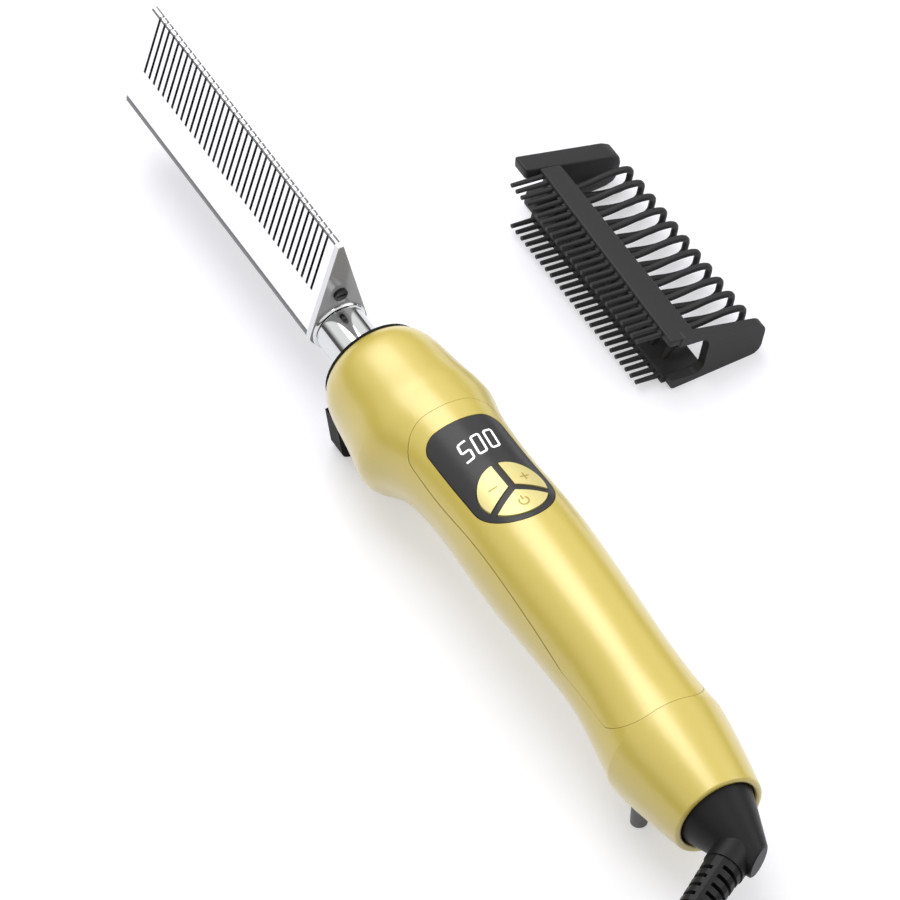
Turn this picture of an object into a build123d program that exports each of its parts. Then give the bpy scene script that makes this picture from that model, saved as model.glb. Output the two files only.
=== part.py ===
from build123d import *
from math import atan2, cos, degrees, hypot, pi, radians, sin, tan
import os

# Heated pressing comb with a swivel cord and a clip-on comb guard, in millimetres.
# X runs from the comb tip to the cord, Y to the right seen from the cord, Z up.
# The comb rests on Z = 0 and the origin is under the middle of its front rest.

os.makedirs("parts", exist_ok=True)

# Handle form: stations are (distance from the nose, radius, rise of the centre)
axis_height = 22.0
nose_x = -5.0
wall = 1.8
nose_radius = 14.4
bulge_at = 26.5
bulge_radius = 20.4
handle_length = 172.0
heel_at = handle_length - 25.0
heel_radius = 17.3
tail_radius = 13.1

nose_stations = [
    (0.0, nose_radius, 0.0),
    (4.5, 16.8, 0.0),
    (11.0, 18.0, -0.1),
    (19.0, 19.2, -0.2),
    (bulge_at, bulge_radius, -0.5),
]
grip_shape = [
    (0.0, bulge_radius, -0.5),
    (0.055, 18.9, 1.6),
    (0.105, 17.2, 3.6),
    (0.17, 16.2, 4.9),
    (0.255, 15.8, 5.7),
    (0.395, 16.4, 6.1),
    (0.56, 16.2, 5.9),
    (0.71, 15.4, 5.5),
    (0.80, 15.1, 4.7),
    (0.875, 15.5, 3.1),
    (0.94, 16.3, 1.4),
    (1.0, heel_radius, 0.0),
]
grip_length = heel_at - bulge_at
grip_stations = [(bulge_at + share * grip_length, radius, rise) for share, radius, rise in grip_shape]
tail_stations = [
    (heel_at, heel_radius, 0.0),
    (handle_length - 17.0, 16.3, -0.1),
    (handle_length - 9.0, 14.9, 0.0),
    (handle_length, tail_radius, 0.0),
]

# Top cover, display window and buttons, all laid out in plan
cover_front = 35.5
cover_rear = heel_at - 0.3
cover_half_width = 14.6
cover_corner = 8.5
seam_height = 8.8
seam_gap = 0.12
window_front = 41.9
window_half_width = 11.3
window_round_at = 69.3
window_corner = 4.5
window_gap = 0.1
keys_at = 69.6
keys_radius = 9.4
web_width = 1.7
web_angles = (180, 62, -62)
key_gap = 0.2
key_stand = 0.4
key_depth = 1.0
key_travel = 0.5
key_stem_radius = 1.5

# Comb head
head_gap = 18.5
head_length = 100.0
head_base_width = 17.4
head_tip_width = 1.5
head_height = 31.0
head_drop = 1.8
head_land = 1.2
head_belly = 5.6
tooth_count = 36
tooth_pitch = 2.5
slot_width = 0.95
slot_root = 10.3
slot_margin = 5.6
flange_thickness = 2.0

# Neck, heater and nose
neck_drop = 1.6
neck_radius = 7.3
neck_bore = 5.9
neck_inside = 20.0
fit = 0.1
heater_radius = 5.3
heater_bore = 5.5
heater_length = 84.0
heater_from_end = 4.0
probe_radius = 1.1
probe_rise = 3.0
wire_radius = 0.7
wire_spread = 2.2
screw_rise = 12.7
head_screw_radius = 1.25
head_screw_length = 8.0
head_screw_cap_radius = 2.0
head_screw_cap = 1.0
insert_lip = 1.2
insert_depth = 7.0
clamp_thickness = 6.0
clamp_radius = 14.6
clamp_screw_at = 9.8
clamp_screw_radius = 1.3
clamp_screw_cap_radius = 2.3
clamp_screw_cap = 1.6
clamp_screw_bite = 4.5

# Rests under the handle
rest_thickness = 6.0
rest_top_width = 32.0
rest_bottom_width = 27.0
foot_at = heel_at + 3.5
foot_spread = 8.9
foot_radius = 2.3

# Board and what it carries
board_front = 43.0
board_length = 55.0
board_half_width = 10.0
board_thickness = 1.6
board_top = 12.0
post_radius = 2.2
post_spread = 8.0
post_inset = 5.0
switch_side = 5.6
switch_height = 5.0
display_length = 12.0
display_width = 11.8
display_height = 4.7
boss_radius = 3.5
boss_joint = 4.2
boss_from_board = 6.0
boss_places = (board_front + board_length + boss_from_board, bulge_at + 0.834 * grip_length)
screw_radius = 1.5
screw_head_radius = 2.8
screw_head_height = 2.0

# Swivel and strain relief
seat_at = handle_length - 14.0
seat_length = 3.0
bush_radius = 11.1
bush_from = handle_length - 15.4
bush_to = handle_length - 1.3
journal_radius = 8.0
running_gap = 0.05
journal_end = handle_length - 22.0
clip_at = handle_length - 17.5
clip_thickness = 1.8
clip_radius = 10.2
clip_groove_radius = 7.0
carrier_radius = 5.0
carrier_end = journal_end - 12.0
ring_radius = 6.2
ring_width = 2.4
ring_places = (carrier_end + 2.2, carrier_end + 7.2)
brush_gap = 0.3
cap_from = handle_length - 0.6
cap_radius = 11.0
cap_taper = 0.36
elbow_at = handle_length + 11.0
elbow_angle = 60.0
elbow_radius = 5.6
elbow_length = 9.5
cone_past_elbow = 13.0
facet_offset = 6.8
sleeve_end = 42.0
sleeve_root_radius = 5.3
sleeve_tip_radius = 4.1
sleeve_core_radius = 2.9
sleeve_sides = 16
sleeve_spine = 1.1
rib_pitch = 3.05
rib_slot = 1.2
rib_count = 9

# Cord, coil and plug
cord_radius = 2.5
cord_sides = 6
cord_lift = 2.55
coil_radius = 39.2
coil_pitch = 5.6
coil_half_turns = 8
coil_lift = 3.45
tie_width = 10.0
tie_thickness = 0.8
tie_gap = 0.1
plug_length = 30.0
plug_width = 24.0
plug_height = 13.0
plug_lift = 6.8
plug_neck_radius = 4.0
blade_length = 16.0
blade_width = 6.3
blade_thickness = 1.5
blade_spacing = 12.7

# Comb guard, lying on its lower face beside the comb
guard_front = -51.5
guard_rear = 24.5
guard_y = 76.8
guard_half_height = 9.75
guard_depth = 28.5
guard_angle = 9.0
front_plate_thickness = 4.8
front_plate_lead = 5.5
rear_plate_thickness = 2.8
rail_width = 5.5
rail_thickness = 2.4
pin_count = 26
pin_pitch = 2.58
pin_length = 9.2
pin_radius = 0.75
pin_inset = 1.7
rib_wire_radius = 0.95
rib_loop_count = 11
rib_loop_pitch = 5.8
loop_nose_radius = 2.1
loop_nose_height = 1.64
notch_width = 12.8
notch_depth = 10.0
notch_corner = 3.0


def across(x, rise=0.0):
    """Plane square to the handle, x from the nose, with sketch x along Y and sketch y up."""
    return Plane(origin=(nose_x + x, 0, axis_height + rise), x_dir=(0, 1, 0), z_dir=(1, 0, 0))


def plan(height):
    """Level plane, height over the handle axis, with its origin at the nose."""
    return Plane(origin=(nose_x, 0, axis_height + height))


def handle_form(inset, step=1):
    """The handle as one solid, set in by inset. A step above 1 skips stations, for the inside."""
    with BuildPart() as form:
        for stations in (nose_stations, grip_stations, tail_stations):
            for x, radius, rise in stations[:-1:step] + stations[-1:]:
                with BuildSketch(Plane(across(x, rise).origin, x_dir=(0, 0, -1), z_dir=(1, 0, 0))):
                    Circle(radius - inset)
            loft(ruled=step > 1)
    return form.part


def radius_and_rise(x):
    """Radius and rise of the handle form, straight between its stations."""
    stations = nose_stations + grip_stations[1:] + tail_stations[1:]
    for (x1, r1, c1), (x2, r2, c2) in zip(stations, stations[1:]):
        if x1 <= x <= x2:
            share = (x - x1) / (x2 - x1)
            return r1 + share * (r2 - r1), c1 + share * (c2 - c1)


def save(piece, name):
    piece.part.label = name
    export_step(piece.part, f"parts/{name}.step")


outer_form = handle_form(0)
inner_form = handle_form(wall, step=2)

with BuildPart() as shell:
    add(outer_form)
    add(inner_form, mode=Mode.SUBTRACT)


def cover_block(grow):
    """Block over the plan outline of the top cover."""
    length = cover_rear - cover_front
    with BuildPart() as block:
        with BuildSketch(plan(seam_height - grow)):
            with Locations(((cover_front + cover_rear) / 2, 0)):
                RectangleRounded(length + 2 * grow, 2 * (cover_half_width + grow), cover_corner + grow)
        extrude(amount=bulge_radius)
    return block.part


def window_block(grow):
    """Block over the plan outline of the display window: square front, round rear."""
    half = window_half_width
    with BuildPart() as block:
        with BuildSketch(plan(seam_height)):
            with BuildLine():
                Polyline((window_round_at, half), (window_front, half),
                         (window_front, -half), (window_round_at, -half))
                ThreePointArc((window_round_at, -half), (window_round_at + half, 0),
                              (window_round_at, half))
            make_face()
            fillet(vertices().group_by(Axis.X)[0], window_corner)
            offset(amount=grow)
        extrude(amount=bulge_radius)
    return block.part


def key_faces(shrink):
    """The three key outlines: a disc split by a Y-shaped web. Order: minus, power, plus."""
    with BuildSketch(plan(seam_height)) as keys:
        with Locations((keys_at, 0)):
            Circle(keys_radius - shrink)
        for angle in web_angles:
            reach = keys_radius + 1
            with Locations(Location((keys_at, 0), angle)):
                with Locations((reach / 2, 0)):
                    Rectangle(reach, web_width + 2 * shrink, mode=Mode.SUBTRACT)
        with Locations((keys_at, 0)):
            Circle(web_width / 2 + shrink, mode=Mode.SUBTRACT)
    return keys.sketch.faces().sort_by(Axis.Y)


# Top cover: the upper inlay of the handle, with the window opening and two screw bosses
with BuildPart() as top_cover:
    add(shell.part)
    add(cover_block(0), mode=Mode.INTERSECT)
    add(window_block(window_gap), mode=Mode.SUBTRACT)
    for x in boss_places:
        radius, rise = radius_and_rise(x)
        with BuildSketch(plan(boss_joint)):
            with Locations((x, 0)):
                Circle(boss_radius)
        extrude(amount=rise + radius - wall / 2 - boss_joint)
        with BuildSketch(plan(boss_joint)):
            with Locations((x, 0)):
                Circle(screw_radius + fit / 2)
        extrude(amount=9, mode=Mode.SUBTRACT)
save(top_cover, "top_cover")

# Lower housing: the rest of the shell, with board posts, screw bosses and the swivel seat
board_rear = board_front + board_length
post_places = [(x, y) for x in (board_front + post_inset, board_rear - post_inset)
               for y in (-post_spread, post_spread)]
board_under = board_top - board_thickness

with BuildPart() as lower_housing:
    add(shell.part)
    add(cover_block(seam_gap), mode=Mode.SUBTRACT)
    with BuildSketch(across(seat_at)):
        Circle(radius_and_rise(seat_at + seat_length)[0] - wall / 3)
        Circle(bush_radius + fit, mode=Mode.SUBTRACT)
    extrude(amount=seat_length)
    for x, y in post_places:
        radius, rise = radius_and_rise(x)
        floor_height = rise - (((radius - wall / 2) ** 2 - y ** 2) ** 0.5)
        with BuildSketch(plan(floor_height)):
            with Locations((x, y)):
                Circle(post_radius)
        extrude(amount=board_under - floor_height)
    for x in boss_places:
        radius, rise = radius_and_rise(x)
        floor_height = rise - radius + wall / 2
        with BuildSketch(plan(floor_height)):
            with Locations((x, 0)):
                Circle(boss_radius + 0.6)
        extrude(amount=boss_joint - fit - floor_height)
        with BuildSketch(plan(floor_height - wall)):
            with Locations((x, 0)):
                Circle(screw_head_radius + 0.2)
        extrude(amount=wall + 3.2, mode=Mode.SUBTRACT)
        with BuildSketch(plan(floor_height)):
            with Locations((x, 0)):
                Circle(screw_radius + 0.2)
        extrude(amount=boss_joint - floor_height, mode=Mode.SUBTRACT)
save(lower_housing, "lower_housing")

# Two screws hold the cover down from below
with BuildPart() as housing_screws:
    for x in boss_places:
        radius, rise = radius_and_rise(x)
        head_seat = rise - radius + wall / 2 + 3.2 - fit
        with BuildSketch(plan(head_seat - screw_head_height - wall / 2)):
            with Locations((x, 0)):
                Circle(screw_head_radius)
        extrude(amount=screw_head_height)
        with BuildSketch(plan(head_seat - wall / 2)):
            with Locations((x, 0)):
                Circle(screw_radius)
        extrude(amount=boss_joint + 8 - head_seat + wall / 2)
save(housing_screws, "housing_screws")

# Display window: dark wrap-around panel, its web parts the three keys
with BuildPart() as display_window:
    add(shell.part)
    add(window_block(-window_gap), mode=Mode.INTERSECT)
    extrude(key_faces(0), amount=bulge_radius, mode=Mode.SUBTRACT)
save(display_window, "display_window")

# Keys: crowned caps, each with a stem over its switch
key_top_form = handle_form(-key_stand)
key_under_form = handle_form(wall + key_depth)
key_names = ("button_minus", "button_power", "button_plus")
key_outlines = key_faces(key_gap)
switch_top = board_top + switch_height
stem_places = []
for name, outline in zip(key_names, key_outlines):
    middle = outline.center()
    stem_places.append((middle.X - nose_x, middle.Y))
    with BuildPart() as key:
        extrude(outline, amount=bulge_radius)
        add(key_top_form, mode=Mode.INTERSECT)
        add(key_under_form, mode=Mode.SUBTRACT)
        with BuildSketch(plan(switch_top + key_travel + 0.1)):
            with Locations((middle.X - nose_x, middle.Y)):
                Circle(key_stem_radius)
        extrude(amount=2.4)
    save(key, name)

# Control board on its posts, with the display, three switches and the power parts
with BuildPart() as control_board:
    with BuildSketch(plan(board_under)):
        with Locations((board_front + board_length / 2, 0)):
            RectangleRounded(board_length, 2 * board_half_width, 1.5)
        with Locations(*post_places):
            Circle(1.1, mode=Mode.SUBTRACT)
    extrude(amount=board_thickness)
save(control_board, "control_board")

with BuildPart() as display_module:
    with BuildSketch(plan(board_top)):
        with Locations((window_front + 4 + display_length / 2, 0)):
            Rectangle(display_length, display_width)
    extrude(amount=display_height)
    chamfer(edges().group_by(Axis.Z)[-1], 0.5)
save(display_module, "display_module")

with BuildPart() as button_switches:
    with BuildSketch(plan(board_top)):
        with Locations(*stem_places):
            Rectangle(switch_side, switch_side)
    extrude(amount=switch_height - 1.2)
    with BuildSketch(plan(board_top + switch_height - 1.2)):
        with Locations(*stem_places):
            Circle(1.7)
    extrude(amount=1.2)
save(button_switches, "button_switches")

with BuildPart() as filter_capacitor:
    with BuildSketch(plan(board_top)):
        with Locations((board_rear - 11, 0)):
            RectangleRounded(7, 13, 1)
    extrude(amount=5.5)
save(filter_capacitor, "filter_capacitor")

with BuildPart() as power_triac:
    with BuildSketch(plan(board_under - 4.5)):
        with Locations((board_front + 22, 0)):
            Rectangle(15, 10)
    extrude(amount=4.5)
    with BuildSketch(plan(board_under - 4.5)):
        with Locations((board_front + 25.5, 0)):
            Circle(1.6)
    extrude(amount=4.5, mode=Mode.SUBTRACT)
save(power_triac, "power_triac")

with BuildPart() as board_screws:
    with BuildSketch(plan(board_top)):
        with Locations(*post_places):
            Circle(1.9)
    extrude(amount=1.3)
save(board_screws, "board_screws")


def head_face(x):
    """Comb head section: thin tooth edge, slanted sides, a short land and a rounded back."""
    half, tip = head_base_width / 2, head_tip_width / 2
    top = head_height - head_drop
    land = -head_drop - head_land
    with BuildSketch(across(x)) as face:
        with BuildLine():
            Polyline((half, land), (half, -head_drop), (tip, top),
                     (-tip, top), (-half, -head_drop), (-half, land))
            ThreePointArc((-half, land), (0, land - head_belly), (half, land))
        make_face()
    return face.sketch


# Comb head: one bar of metal, sawn into teeth, bored from the neck end for the heater
head_tip = -head_gap - head_length
head_end = -head_gap - flange_thickness
first_slot = nose_x - head_gap - slot_margin - tooth_count * tooth_pitch
slot_middle = first_slot + tooth_count * tooth_pitch / 2
slot_reach = head_height - head_drop - slot_root + 1

with BuildPart() as comb_head:
    extrude(head_face(head_tip), amount=head_end - head_tip)
    with BuildSketch(Plane.XZ.offset(-head_base_width)):
        with Locations((slot_middle, axis_height + slot_root + slot_reach / 2)):
            with GridLocations(tooth_pitch, 0, tooth_count + 1, 1):
                Rectangle(slot_width, slot_reach)
    extrude(amount=2 * head_base_width, mode=Mode.SUBTRACT)
    with BuildSketch(across(head_end, -neck_drop)):
        Circle(heater_bore)
    extrude(amount=-heater_length - heater_from_end, mode=Mode.SUBTRACT)
    with BuildSketch(across(head_end, screw_rise - neck_drop)):
        Circle(head_screw_radius + fit / 2)
    extrude(amount=-head_screw_length - 1, mode=Mode.SUBTRACT)
save(comb_head, "comb_head")

# Neck: a tube with a flange of the head's own section, held by one screw over the tube
with BuildPart() as neck_tube:
    extrude(head_face(head_end), amount=flange_thickness)
    with BuildSketch(across(-head_gap, -neck_drop)):
        Circle(neck_radius)
    extrude(amount=head_gap + neck_inside)
    with BuildSketch(across(head_end, -neck_drop)):
        Circle(neck_bore)
    extrude(amount=flange_thickness + head_gap + neck_inside, mode=Mode.SUBTRACT)
    with BuildSketch(across(head_end, screw_rise - neck_drop)):
        Circle(head_screw_radius + fit / 2)
    extrude(amount=flange_thickness, mode=Mode.SUBTRACT)
save(neck_tube, "neck_tube")

with BuildPart() as head_screw:
    with BuildSketch(across(-head_gap, screw_rise - neck_drop)):
        Circle(head_screw_cap_radius)
    extrude(amount=head_screw_cap)
    with BuildSketch(across(-head_gap, screw_rise - neck_drop)):
        Circle(head_screw_radius)
    extrude(amount=-head_screw_length)
    with BuildSketch(across(-head_gap + head_screw_cap, screw_rise - neck_drop)):
        Rectangle(1.5 * head_screw_cap_radius, head_screw_cap / 2)
    extrude(amount=-head_screw_cap / 2, mode=Mode.SUBTRACT)
save(head_screw, "head_screw")

with BuildPart() as heater_core:
    with BuildSketch(across(head_end - 2, -neck_drop)):
        Circle(heater_radius)
        with Locations((0, probe_rise)):
            Circle(probe_radius + fit, mode=Mode.SUBTRACT)
    extrude(amount=-heater_length)
save(heater_core, "heater_core")

with BuildPart() as temperature_probe:
    with BuildSketch(across(head_end, probe_rise - neck_drop)):
        Circle(probe_radius)
    extrude(amount=-heater_length * 0.7)
save(temperature_probe, "temperature_probe")

# Heater leads run through the neck and up to the board
with BuildPart() as heater_wires:
    for y in (-wire_spread, wire_spread):
        lead_height = axis_height - neck_drop
        board_entry = nose_x + board_front + 4
        with BuildLine() as lead:
            FilletPolyline((nose_x + head_end - 1.8, y, lead_height),
                           (nose_x + 26, y, lead_height),
                           (board_entry, y, axis_height + 3),
                           (board_entry, y, axis_height + board_under), radius=4)
        with BuildSketch(Plane(origin=lead.line @ 0, z_dir=lead.line % 0)):
            RegularPolygon(wire_radius, 4)
        sweep()
save(heater_wires, "heater_wires")

# Black heat-proof insert closes the nose round the neck
with BuildPart() as nose_insert:
    with BuildSketch(across(-insert_lip)):
        Circle(nose_radius)
    extrude(amount=insert_lip)
    chamfer(edges().group_by(Axis.X)[0], 0.4)
    with BuildSketch(across(0)):
        Circle(nose_radius - wall - fit)
    extrude(amount=insert_depth)
    with BuildSketch(across(-insert_lip, -neck_drop)):
        Circle(neck_radius + fit)
    extrude(amount=insert_lip + insert_depth, mode=Mode.SUBTRACT)
    with BuildSketch(across(insert_depth)):
        with Locations((-clamp_screw_at, 0), (clamp_screw_at, 0)):
            Circle(clamp_screw_radius + fit / 2)
    extrude(amount=-clamp_screw_bite - 0.5, mode=Mode.SUBTRACT)
save(nose_insert, "nose_insert")

with BuildPart() as neck_clamp:
    with BuildSketch(across(insert_depth)):
        Circle(clamp_radius)
        with Locations((0, -neck_drop)):
            Circle(neck_radius + fit, mode=Mode.SUBTRACT)
        with Locations((-clamp_screw_at, 0), (clamp_screw_at, 0)):
            Circle(clamp_screw_radius + fit, mode=Mode.SUBTRACT)
    extrude(amount=clamp_thickness)
save(neck_clamp, "neck_clamp")

with BuildPart() as clamp_screws:
    with BuildSketch(across(insert_depth + clamp_thickness)):
        with Locations((-clamp_screw_at, 0), (clamp_screw_at, 0)):
            Circle(clamp_screw_cap_radius)
    extrude(amount=clamp_screw_cap)
    with BuildSketch(across(insert_depth + clamp_thickness)):
        with Locations((-clamp_screw_at, 0), (clamp_screw_at, 0)):
            Circle(clamp_screw_radius)
    extrude(amount=-clamp_thickness - clamp_screw_bite)
save(clamp_screws, "clamp_screws")

# Front rest: a black crescent under the nose, flat where it stands
with BuildPart() as front_rest:
    with BuildSketch(Plane.YZ.offset(-rest_thickness / 2)):
        with BuildLine():
            Polyline((-rest_bottom_width / 2, 0), (rest_bottom_width / 2, 0),
                     (rest_top_width / 2, axis_height - 6), (-rest_top_width / 2, axis_height - 6),
                     (-rest_bottom_width / 2, 0))
        make_face()
        fillet(vertices().group_by(Axis.Y)[0], 3.0)
    extrude(amount=rest_thickness)
    add(outer_form, mode=Mode.SUBTRACT)
save(front_rest, "front_rest")

# Rear feet: two small rubber studs under the heel
with BuildPart() as rear_feet:
    with BuildSketch(Plane.XY):
        with Locations((nose_x + foot_at, -foot_spread), (nose_x + foot_at, foot_spread)):
            Circle(foot_radius)
    extrude(amount=axis_height - 10)
    add(outer_form, mode=Mode.SUBTRACT)
    chamfer(edges().group_by(Axis.Z)[0], 0.4)
save(rear_feet, "rear_feet")

# Swivel bush, fixed in its seat in the tail
with BuildPart() as swivel_bush:
    with BuildSketch(across(bush_from)):
        Circle(bush_radius)
        Circle(journal_radius + running_gap, mode=Mode.SUBTRACT)
    extrude(amount=bush_to - bush_from)
save(swivel_bush, "swivel_bush")

# Contact block with two sprung contacts under the slip rings
block_middle = (carrier_end + journal_end) / 2 - 0.5
with BuildPart() as contact_block:
    with BuildSketch(plan(-heel_radius)):
        with Locations((block_middle, 0)):
            Rectangle(11, 12)
    extrude(amount=heel_radius - 9.5)
    add(inner_form, mode=Mode.INTERSECT)
save(contact_block, "contact_block")

with BuildPart() as contact_springs:
    for x in ring_places:
        with BuildSketch(plan(-9.5)):
            with Locations((x + ring_width / 2, 0)):
                Rectangle(1.6, 7)
        extrude(amount=9.5 - ring_radius - brush_gap)
        with BuildSketch(across(x - 1)):
            with Locations((-3.5, -ring_radius - 0.9), (3.5, -ring_radius - 0.9)):
                Rectangle(4, 3)
        extrude(amount=ring_width + 2, mode=Mode.SUBTRACT)
save(contact_springs, "contact_springs")

with BuildPart() as supply_wires:
    for y in (-1, 1):
        with BuildLine() as lead:
            FilletPolyline((nose_x + block_middle - 6.0, y * 4.5, axis_height - 10.5),
                           (nose_x + heel_at - 16, y * 5.5, axis_height - 4),
                           (nose_x + heel_at - 41, y * 6.5, axis_height - 2),
                           (nose_x + board_rear - 1.2, y * 5.2, axis_height + 4),
                           (nose_x + board_rear - 1.2, y * 5.2, axis_height + board_under), radius=2.5)
        with BuildSketch(Plane(origin=lead.line @ 0, z_dir=lead.line % 0)):
            RegularPolygon(wire_radius, 4)
        sweep()
save(supply_wires, "supply_wires")

# Swivel cap: a cone with a flat cut on its end and an elbow for the strain relief
elbow_way = Vector(cos(radians(elbow_angle)), -sin(radians(elbow_angle)), 0)
elbow_side = Vector(sin(radians(elbow_angle)), cos(radians(elbow_angle)), 0)
elbow_origin = Vector(nose_x + elbow_at, 0, axis_height)
cone_end = elbow_at + cone_past_elbow


def along_elbow(distance):
    """Plane square to the elbow, distance from the swivel axis, with sketch y up."""
    return Plane(origin=elbow_origin + elbow_way * distance, x_dir=elbow_side * -1, z_dir=elbow_way)


with BuildPart() as swivel_cap:
    with BuildSketch(across(cap_from)):
        Circle(cap_radius)
    extrude(amount=cone_end - cap_from, taper=degrees(atan2(cap_taper, 1)))
    with BuildSketch(along_elbow(-3)):
        Circle(elbow_radius)
    extrude(amount=elbow_length + 3)
    split(bisect_by=Plane(origin=elbow_origin + elbow_side * facet_offset, z_dir=elbow_side),
          keep=Keep.BOTTOM)
    facet = faces().filter_by(GeomType.PLANE).sort_by(Axis(elbow_origin, elbow_side))[-1]
    chamfer(facet.edges(), 0.4)
    with BuildSketch(across(cap_from)):
        Circle(journal_radius)
    extrude(amount=journal_end - cap_from)
    with BuildSketch(across(journal_end)):
        Circle(carrier_radius)
    extrude(amount=carrier_end - journal_end)
    with BuildSketch(across(clip_at - fit / 2)):
        Circle(journal_radius + 1)
        Circle(clip_groove_radius, mode=Mode.SUBTRACT)
    extrude(amount=clip_thickness + fit, mode=Mode.SUBTRACT)
save(swivel_cap, "swivel_cap")

with BuildPart() as swivel_clip:
    with BuildSketch(across(clip_at)):
        Circle(clip_radius)
        Circle(clip_groove_radius + fit / 2, mode=Mode.SUBTRACT)
        with Locations((0, clip_radius)):
            Rectangle(5, 2 * clip_radius, mode=Mode.SUBTRACT)
    extrude(amount=clip_thickness)
save(swivel_clip, "swivel_clip")

with BuildPart() as slip_rings:
    for x in ring_places:
        with BuildSketch(across(x)):
            Circle(ring_radius)
            Circle(carrier_radius + fit / 2, mode=Mode.SUBTRACT)
        extrude(amount=ring_width)
save(slip_rings, "slip_rings")

# Strain relief: a tapered sleeve, sawn from both sides in turn down to a core and two spines
with BuildPart() as strain_relief_sleeve:
    with BuildSketch(along_elbow(elbow_length)):
        RegularPolygon(sleeve_root_radius, sleeve_sides)
    sleeve_taper = degrees(atan2(sleeve_root_radius - sleeve_tip_radius, sleeve_end - elbow_length))
    extrude(amount=sleeve_end - elbow_length, taper=sleeve_taper)
    for side, start in ((-1, 0.0), (1, rib_pitch / 2)):
        for turn in range(rib_count):
            with BuildSketch(along_elbow(elbow_length + 2.2 + start + turn * rib_pitch)):
                with Locations((side * (sleeve_spine + 4), 0)):
                    Rectangle(8, 14)
                RegularPolygon(sleeve_core_radius, sleeve_sides, mode=Mode.SUBTRACT)
            extrude(amount=rib_slot, mode=Mode.SUBTRACT)
save(strain_relief_sleeve, "strain_relief_sleeve")

# Cord: straight runs and tangent arcs from the sleeve to the floor, and up to the coil
sleeve_tip = elbow_origin + elbow_way * sleeve_end
coil_start = Vector(elbow_origin.X + 84.0, -79.0, coil_lift)
coil_middle = Vector(coil_start.X, coil_start.Y + coil_radius, 0)
coil_end = Vector(coil_start.X, coil_middle.Y + coil_radius, coil_lift + coil_pitch)
lead_route = [
    sleeve_tip,
    sleeve_tip + elbow_way * 16.0,
    Vector(elbow_origin.X + 38.5, -65.0, 12.5),
    Vector(elbow_origin.X + 50.5, -74.5, 4.4),
    Vector(elbow_origin.X + 66.0, -79.0, coil_lift),
    coil_start,
]
tail_route = [
    coil_end - Vector(0.05, 0, 0),
    Vector(elbow_origin.X + 67.0, coil_end.Y, coil_end.Z),
    Vector(elbow_origin.X + 52.0, 6.5, 4.3),
    Vector(elbow_origin.X + 41.5, 18.5, 3.0),
    Vector(elbow_origin.X + 37.0, 34.0, plug_lift),
    Vector(elbow_origin.X + 37.0, 50.0, plug_lift),
]


def arc_radii(route):
    """For each corner, 0.45 of the shorter run over the tangent of half the turn."""
    radii = []
    for before, corner, after in zip(route, route[1:], route[2:]):
        turn = (corner - before).get_angle(after - corner)
        shorter = min((corner - before).length, (after - corner).length)
        radii.append(0.45 * shorter / tan(radians(turn) / 2))
    return radii


def cord_run(route, name):
    radii = arc_radii(route)
    with BuildPart() as run:
        with BuildLine() as path:
            FilletPolyline(*route, radius=radii)
        with BuildSketch(Plane(origin=path.line @ 0, z_dir=path.line % 0)):
            RegularPolygon(cord_radius, cord_sides)
        sweep()
    section = cord_sides / 2 * cord_radius ** 2 * sin(2 * pi / cord_sides)
    length = sum(edge.length for edge in path.edges())
    print(name, "radii", [round(r, 1) for r in radii], "length", round(length, 1),
          "volume share", round(run.part.volume / (section * length), 4))
    save(run, name)
    return length


lead_length = cord_run(lead_route, "cord")
tail_length = cord_run(tail_route, "cord_tail")


def coil_arcs():
    """Half turns of the coil: start, middle and end of each, in on one layer and out on the next."""
    arcs = []
    y, z, side = coil_start.Y, coil_lift, 1
    radii = [coil_radius - coil_pitch / 2 * k for k in range(coil_half_turns + 1)]
    layers = [(radius, 0) for radius in radii[:-1]] + [(radii[-1], coil_pitch)]
    layers += [(radius, 0) for radius in reversed(radii[:-1])]
    for radius, climb in layers:
        middle_y = y + side * radius
        start = Vector(coil_start.X, y, z)
        middle = Vector(coil_start.X + side * radius, middle_y, z + climb / 2)
        end = Vector(coil_start.X, middle_y + side * radius, z + climb)
        arcs.append((start, middle, end))
        y, z, side = end.Y, end.Z, -side
    return arcs


def own_gap(arcs, diameter):
    """Least gap of the coil to itself, on points along its middle line."""
    points = []
    along = 0.0
    for start, middle, end in arcs:
        centre = (start + end) * 0.5
        steps = 24
        for step in range(steps):
            turn = pi * step / steps
            point = centre + (start - centre) * cos(turn) + (middle - centre) * sin(turn)
            if points:
                along += (point - points[-1][0]).length
            points.append((point, along))
    least = min((a - b).length for i, (a, s) in enumerate(points)
                for b, t in points[i + 1:] if t - s > 4 * diameter)
    return least - diameter


with BuildPart() as cord_coil:
    with BuildLine() as winding:
        for start, middle, end in coil_arcs():
            ThreePointArc(start, middle, end)
    with BuildSketch(Plane(origin=coil_start, x_dir=(0, 1, 0), z_dir=(1, 0, 0))):
        RegularPolygon(cord_radius, cord_sides)
    sweep()
coil_length = sum(edge.length for edge in winding.edges())
print("coil length", round(coil_length, 1), "own gap", round(own_gap(coil_arcs(), 2 * cord_radius), 2),
      "cord in all", round(lead_length + coil_length + tail_length, 1))
save(cord_coil, "cord_coil")

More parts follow.
